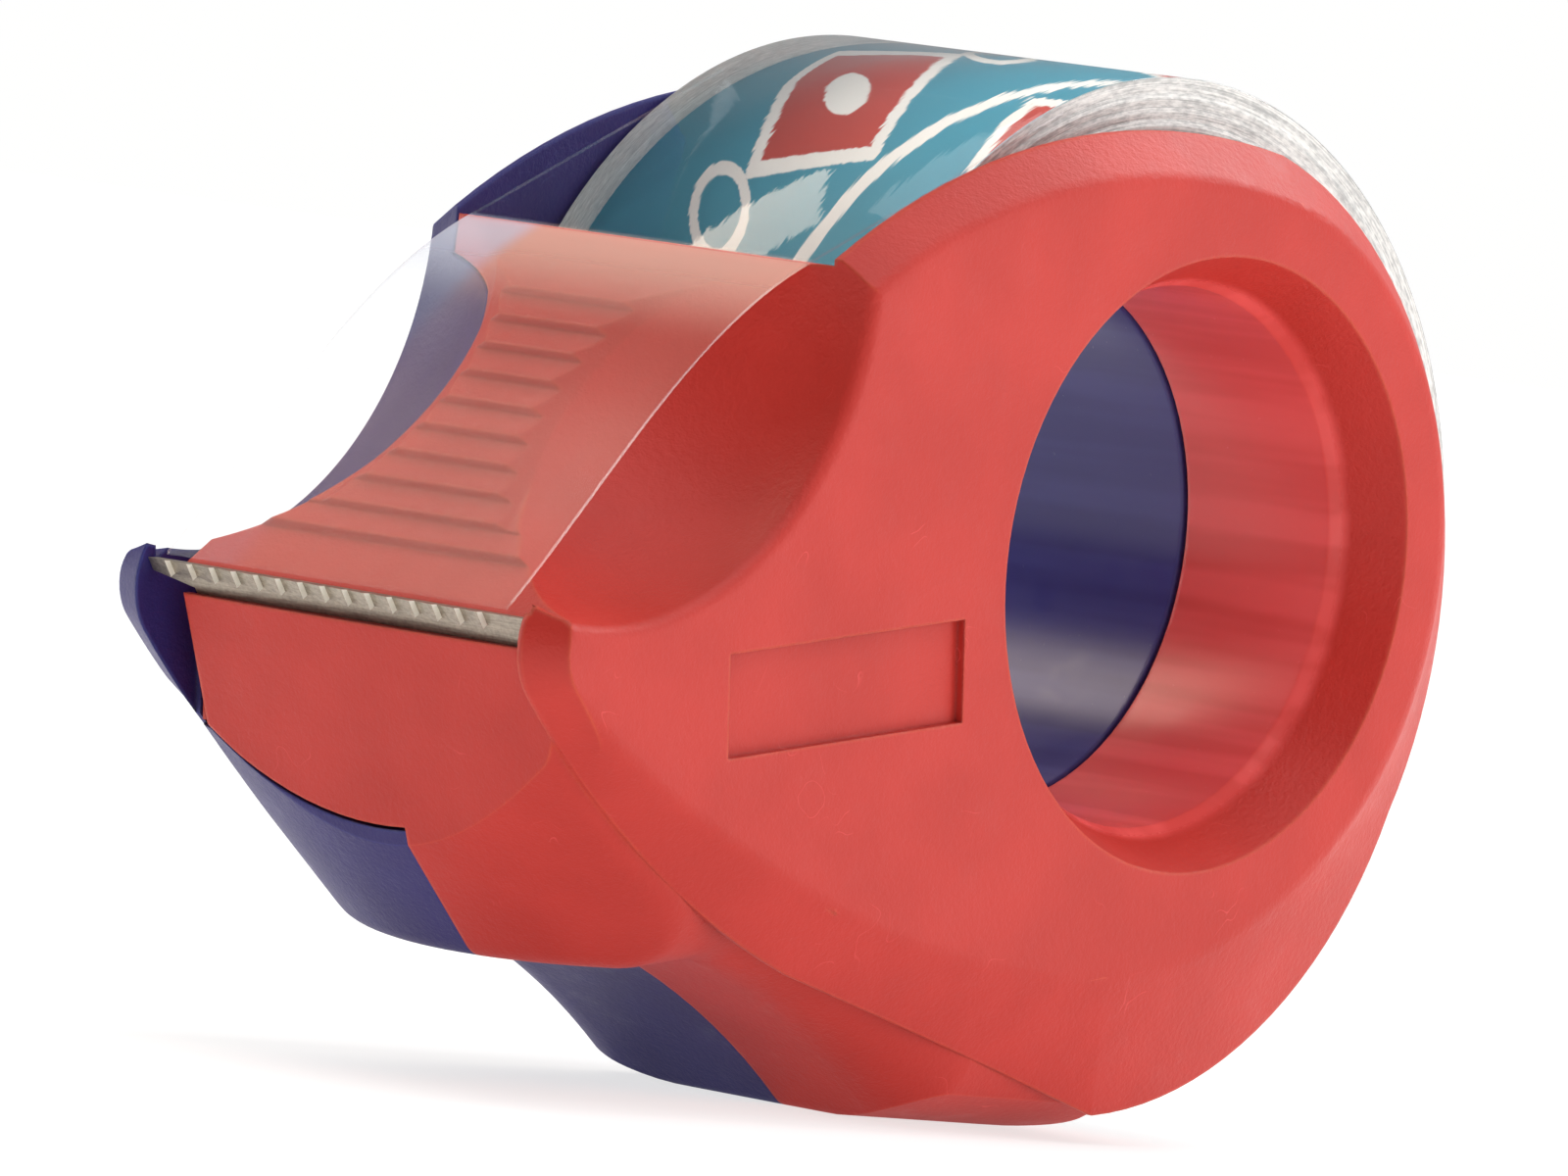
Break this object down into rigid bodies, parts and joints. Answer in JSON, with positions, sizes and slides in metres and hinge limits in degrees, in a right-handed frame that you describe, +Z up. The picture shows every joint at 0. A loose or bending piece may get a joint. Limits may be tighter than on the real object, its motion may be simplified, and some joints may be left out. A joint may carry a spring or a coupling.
{
  "type": "tape dispenser",
  "caption": "Hand-held tape dispenser: clip-together shells round an open hub, a toothed steel cutter on a saddle nose and a free-turning roll of clear tape.",
  "frame": {"origin": "on the hub axis, half-way across the width of the body", "axes": "+X runs from the cutter at the nose to the round tail, +Y along the hub from the red side to the blue side, +Z up with the body standing on its flat foot"},
  "size_m": [0.0605, 0.0252, 0.0451],
  "materials": {
    "red_plastic": "fine grained moulded plastic, red",
    "blue_plastic": "fine grained moulded plastic, dark blue",
    "cutter_steel": "plain spring steel, warm grey",
    "core_board": "wound board",
    "printed_paper": "printed paper band in blue-green, red and off-white",
    "wound_tape": "clear film wound in layers, silver-grey at the sides",
    "tape_film": "thin clear film"
  },
  "bodies": {
    "red_side": {"red_shell": "red_plastic", "cutter_blade": "cutter_steel", "tape_tail": "tape_film"},
    "blue_side": {"blue_shell": "blue_plastic"},
    "roll": {"roll_core": "core_board", "core_label": "printed_paper", "tape_winding": "wound_tape"}
  },
  "joints": [
    {"name": "roll_spin", "type": "hinge", "parent": "red_side", "child": "roll", "pos_m": [-0.00032, 0.0008, -0.00067], "axis": [0, 1, 0], "continuous": true},
    {"name": "shell_opening", "type": "slide", "parent": "red_side", "child": "blue_side", "axis": [0, 1, 0], "range_m": [0, 0.03]}
  ]
}
